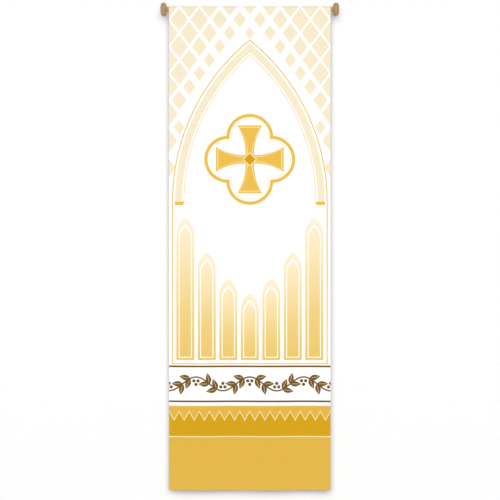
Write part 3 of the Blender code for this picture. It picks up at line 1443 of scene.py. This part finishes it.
@dataclass
class RodAndKnobs:
    """The beech dowel in the pocket and the turned knob on each of its ends."""

    rod_radius: float = 9.5 * MILLIMETRE
    neck: float = 9.5 * MILLIMETRE
    end_gap: float = 0.3 * MILLIMETRE
    end_chamfer: float = 0.8 * MILLIMETRE
    knob_radius: float = 26 * MILLIMETRE
    knob_thickness: float = 22.5 * MILLIMETRE
    rim_rest: float = 0.05 * MILLIMETRE
    end_ring: float = 1.2 * MILLIMETRE
    bore_radius: float = 9.8 * MILLIMETRE
    bore_depth: float = 14 * MILLIMETRE
    bore_chamfer: float = 0.5 * MILLIMETRE
    sides: int = 96

    def __post_init__(self) -> None:
        """Work out where the knobs sit and where the dowel ends."""
        self.knob_seat = BANNER_WIDTH / 2 + self.neck
        self.rod_half_length = self.knob_seat + self.bore_depth - self.end_gap

    def build(self) -> list[Piece]:
        """Build the dowel and both knobs.

        Returns:
            The three pieces.
        """
        # The dowel's wood is painted lighter than the knobs', to make up for the shade that the knobs
        # and the cloth cast on its short bare neck.
        lightened_dowel_wood = LacqueredBeech(
            name="satin_lacquered_beech_dowel_lightened", early_wood="bf9b6d", late_wood="aa8658"
        )
        knob_wood = LacqueredBeech(name="satin_lacquered_beech_knobs", pith=(-0.041, 0.047))
        rod = self._rod(lightened_dowel_wood.make())
        turned = knob_wood.make()
        left, right = (self._knob(name, side, turned) for name, side in zip(KNOBS, (-1, 1)))
        for piece, node, slot in (
            (rod, "rod", "rod_wood"),
            (left, "knob_left", "knob_wood"),
            (right, "knob_right", "knob_wood"),
        ):
            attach(piece, BODY)
            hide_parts(node)
        return [rod, left, right]

    def _start(self, name: str, radius: float, depth: float, middle: float) -> Piece:
        """Add a cylinder along X and go into edit mode.

        Args:
            name: the piece's name.
            radius: its radius.
            depth: its length along X.
            middle: where its middle is along X.

        Returns:
            The piece, in edit mode.
        """
        select_none()
        bpy.ops.mesh.primitive_cylinder_add(
            vertices=self.sides,
            radius=radius,
            depth=depth,
            location=(middle, 0, 0),
            rotation=(0, math.pi / 2, 0),
        )
        piece = take_piece(name)
        bpy.ops.object.mode_set(mode="EDIT")
        return piece

    @staticmethod
    def _finish(piece: Piece, finish: Material) -> Piece:
        """Leave edit mode, shade a turned piece smooth between its corners and give it its wood.

        Args:
            piece: the piece in edit mode.
            finish: its wood.

        Returns:
            The piece.
        """
        bpy.ops.object.mode_set(mode="OBJECT")
        piece.data.materials.append(finish)
        piece.data.shade_smooth()
        piece.data.set_sharp_from_angle(angle=math.radians(35))
        return piece

    def _rod(self, finish: Material) -> Piece:
        """The dowel, with the edges of its ends taken off.

        Args:
            finish: its wood.

        Returns:
            The dowel.
        """
        end = self.rod_half_length
        rod = self._start("rod_dowel", self.rod_radius, 2 * end, 0)
        pick(rod, "EDGE", lambda edge: both_ends_at(edge, end) or both_ends_at(edge, -end))
        bpy.ops.mesh.bevel(offset=self.end_chamfer, segments=2)
        return self._finish(rod, finish)

    def _knob(self, name: str, side: int, finish: Material) -> Piece:
        """A turned disc with a full round rim, bored to go over the dowel's end.

        Args:
            name: the knob's name.
            side: -1 at the left end of the rod and 1 at the right.
            finish: its wood.

        Returns:
            The knob.
        """
        seat = side * self.knob_seat
        outer = side * (self.knob_seat + self.knob_thickness)
        knob = self._start(name, self.knob_radius, self.knob_thickness, (seat + outer) / 2)
        pick(knob, "EDGE", lambda edge: both_ends_at(edge, seat) or both_ends_at(edge, outer))
        round_rim = self.knob_thickness / 2 - self.rim_rest
        bpy.ops.mesh.bevel(offset=round_rim, segments=14, profile=0.5)
        flat_radius = self.knob_radius - round_rim
        for way, ring in ((1, self.end_ring), (-1, flat_radius - self.bore_radius)):
            pick(knob, "FACE", lambda face: face.normal.x * side * way > 0.999 and len(face.verts) > 4)
            bpy.ops.mesh.inset(thickness=ring)
        bpy.ops.mesh.extrude_region_move(
            TRANSFORM_OT_translate={"value": (side * self.bore_depth, 0, 0)}
        )
        pick(knob, "EDGE", lambda edge: both_ends_at(edge, seat, self.bore_radius))
        bpy.ops.mesh.bevel(offset=self.bore_chamfer, segments=2)
        return self._finish(knob, finish)


@dataclass
class Studio:
    """A white wall close behind the banner, a pale floor, soft light and the camera.

    The wall's paint is grey and has lights of its own, which make it white, so
    that the banner's shadow on it is as deep and as soft as on a lit wall.
    """

    wall_gap: float = 38 * MILLIMETRE
    wall_size: float = 9.0
    wall_paint: str = "828282"
    floor_z: float = -2.15
    floor_size: float = 16.0
    floor_paint: str = "f2f1ee"
    frame_width: float = 1.8885
    view_height: float = -0.9087
    view_side: float = 0.0008
    lens: float = 120.0
    sensor: float = 36.0
    key_strength: float = 1.69
    key_height: float = math.radians(8)
    wall_strength: float = 11.25
    past_knobs: float = 0.46
    wall_light_height: float = math.radians(19)
    spread: float = math.radians(58)
    back_strength: float = 1.9
    surround: float = 0.60
    backdrop: float = 1.0

    def build(self) -> None:
        """Build the stage, the lights and the camera."""
        self._stage()
        self._light("key_light", self.key_strength, self.key_height, 1)
        self._light("back_light", self.back_strength, self.key_height, -1)
        self._wall_lights()
        self._surround()
        self._camera()
        bpy.context.scene.view_settings.view_transform = "Standard"

    def _stage(self) -> None:
        """The wall, which is clear from behind, and the floor. Neither casts a shadow."""
        wall_paint = MattPaint("white_wall_paint", self.wall_paint, one_sided=True)
        floor_paint = MattPaint("pale_floor_paint", self.floor_paint)
        for name, size, location, turn, paint in (
            (WALL, self.wall_size, (0, self.wall_gap, 0), math.pi / 2, wall_paint),
            ("studio_floor", self.floor_size, (0, 0, self.floor_z), 0, floor_paint),
        ):
            select_none()
            bpy.ops.mesh.primitive_plane_add(size=size, location=location, rotation=(turn, 0, 0))
            plane = take_piece(name)
            plane.data.materials.append(paint.make())
            plane.visible_shadow = False

    def _wall_lights(self) -> None:
        """Two lights for the wall alone. The cloth shades both, the knobs the first, the dowel none."""
        wall = self._group("lit_by_wall_lights", [WALL])
        for name, share, shades in (
            ("wall_light", 1 - self.past_knobs, [CLOTH, *KNOBS]),
            ("wall_fill", self.past_knobs, [CLOTH]),
        ):
            lamp = self._light(name, share * self.wall_strength, self.wall_light_height, 1)
            lamp.light_linking.receiver_collection = wall
            lamp.light_linking.blocker_collection = self._group(f"shades_{name}", shades)

    @staticmethod
    def _group(name: str, members: Sequence[str]) -> bpy.types.Collection:
        """Put some objects in a new collection, for the lights to refer to.

        Args:
            name: the collection's name.
            members: the objects' names.

        Returns:
            The collection.
        """
        group = bpy.data.collections.new(name)
        for member in members:
            group.objects.link(bpy.data.objects[member])
        return group

    def _light(self, name: str, strength: float, height: float, way: int) -> Piece:
        """Add a soft light that comes from the front or the back.

        Args:
            name: the light's name.
            strength: its irradiance.
            height: the angle that it comes down at.
            way: 1 if it shines towards +Y and -1 towards -Y.

        Returns:
            The light.
        """
        light = bpy.data.lights.new(name, "SUN")
        light.energy = strength
        light.angle = self.spread
        lamp = bpy.data.objects.new(name, light)
        lamp.rotation_euler = (way * (math.pi / 2 - height), 0, 0)
        bpy.context.scene.collection.objects.link(lamp)
        return lamp

    def _surround(self) -> None:
        """Even white light from all round, which the camera sees as a pale backdrop."""
        world = bpy.data.worlds.new("studio_surround")
        world.use_nodes = True
        tree = world.node_tree
        tree.nodes.clear()
        seen = add_node(tree, "LightPath", output="Is Camera Ray")
        strength = add_node(tree, "MapRange", {0: seen, 3: self.surround, 4: self.backdrop})
        light = add_node(tree, "Background", {"Color": (1, 1, 1, 1), "Strength": strength})
        add_node(tree, "OutputWorld", {"Surface": light})
        bpy.context.scene.world = world

    def _camera(self) -> None:
        """A long lens, straight on."""
        camera = bpy.data.cameras.new("studio_camera")
        camera.lens = self.lens
        camera.sensor_width = self.sensor
        camera.clip_end = 40
        holder = bpy.data.objects.new("studio_camera", camera)
        distance = self.frame_width * self.lens / self.sensor
        holder.location = (self.view_side, -distance, self.view_height)
        holder.rotation_euler = (math.pi / 2, 0, 0)
        bpy.context.scene.collection.objects.link(holder)
        bpy.context.scene.camera = holder


def report(pieces: Sequence[Piece]) -> None:
    """Log each piece and how many triangles it has."""
    for piece in pieces:
        piece.data.calc_loop_triangles()
        log.info("%s: %d triangles", piece.name, len(piece.data.loop_triangles))


def main() -> None:
    """Build the rod, the cloth and the studio, in that order."""
    report(RodAndKnobs().build())
    report(BannerCloth(Hang(), ChurchPattern()).build())
    Studio().build()


if __name__ == "__main__":
    main()
